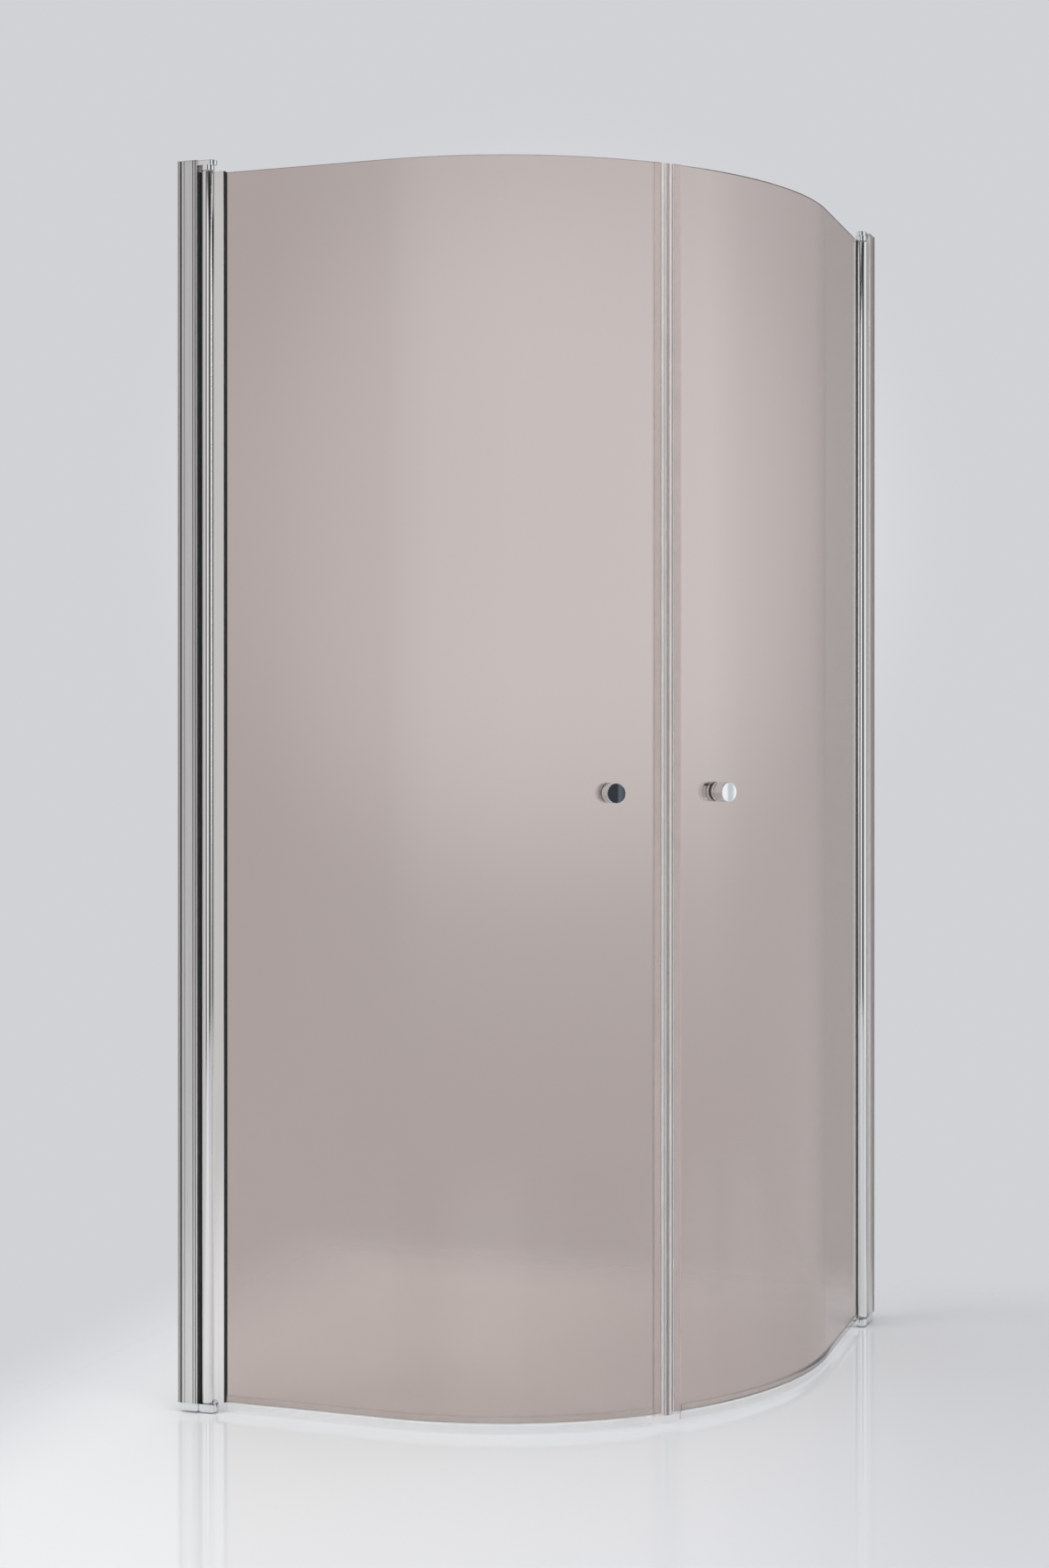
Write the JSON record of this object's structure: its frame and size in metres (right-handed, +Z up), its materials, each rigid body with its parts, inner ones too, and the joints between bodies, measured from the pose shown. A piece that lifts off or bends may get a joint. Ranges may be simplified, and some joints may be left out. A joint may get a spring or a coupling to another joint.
{
  "type": "quadrant shower enclosure",
  "caption": "Corner shower enclosure with curved bronze-tinted glass swing doors, satin aluminium wall and hinge profiles, chrome pivot brackets, round knobs and magnetic edge seals.",
  "frame": {"origin": "on the floor, in the middle of the square that the enclosure covers; the room's corner is at -X, +Y", "axes": "+X along the back wall, from the room's corner to the right wall channel; +Y from the left door's straight glass to the back wall; +Z up. The closed doors meet on the diagonal from the room's corner, at +X, -Y"},
  "size_m": [0.9, 0.9, 1.9],
  "materials": {
    "satin_aluminium": "satin, lightly brushed",
    "chrome": "polished",
    "stainless_steel": "satin",
    "glass": "bronze tint, toughened, polished edges",
    "clear_plastic": "clear, soft",
    "black_rubber": "matte",
    "white_plastic": "matte",
    "grey_plastic": "satin",
    "flexible_magnet": "matte"
  },
  "bodies": {
    "wall_frame": {"left_wall_channel": "satin_aluminium", "left_adjusting_profile": "satin_aluminium", "left_lock_screws": "stainless_steel", "left_lock_screw_caps": "grey_plastic", "left_gap_seal": "black_rubber", "left_top_bracket": "chrome", "left_bottom_bracket": "chrome", "left_top_bracket_screw": "stainless_steel", "left_bottom_bracket_screw": "stainless_steel", "left_top_pin": "stainless_steel", "left_bottom_pin": "stainless_steel", "left_thrust_washer": "white_plastic", "right_wall_channel": "satin_aluminium", "right_adjusting_profile": "satin_aluminium", "right_lock_screws": "stainless_steel", "right_lock_screw_caps": "grey_plastic", "right_gap_seal": "black_rubber", "right_top_bracket": "chrome", "right_bottom_bracket": "chrome", "right_top_bracket_screw": "stainless_steel", "right_bottom_bracket_screw": "stainless_steel", "right_top_pin": "stainless_steel", "right_bottom_pin": "stainless_steel", "right_thrust_washer": "white_plastic"},
    "left_door": {"left_hinge_profile": "satin_aluminium", "left_glazing_gasket": "black_rubber", "left_top_bush": "white_plastic", "left_bottom_bush": "white_plastic", "left_door_glass": "glass", "left_sweep_seal": "clear_plastic", "left_magnet_seal": "clear_plastic", "left_magnet_strip": "flexible_magnet", "left_outer_knob": "chrome", "left_inner_knob": "chrome", "left_knob_stud": "stainless_steel", "left_knob_washers": "clear_plastic"},
    "right_door": {"right_hinge_profile": "satin_aluminium", "right_glazing_gasket": "black_rubber", "right_top_bush": "white_plastic", "right_bottom_bush": "white_plastic", "right_door_glass": "glass", "right_sweep_seal": "clear_plastic", "right_magnet_seal": "clear_plastic", "right_magnet_strip": "flexible_magnet", "right_outer_knob": "chrome", "right_inner_knob": "chrome", "right_knob_stud": "stainless_steel", "right_knob_washers": "clear_plastic"}
  },
  "joints": [
    {"name": "left_door_swing", "type": "hinge", "parent": "wall_frame", "child": "left_door", "pos_m": [-0.406, -0.4356, 0.95], "axis": [0, 0, -1], "range_deg": [0, 90]},
    {"name": "right_door_swing", "type": "hinge", "parent": "wall_frame", "child": "right_door", "pos_m": [0.4356, 0.406, 0.95], "axis": [0, 0, 1], "range_deg": [0, 90]}
  ]
}
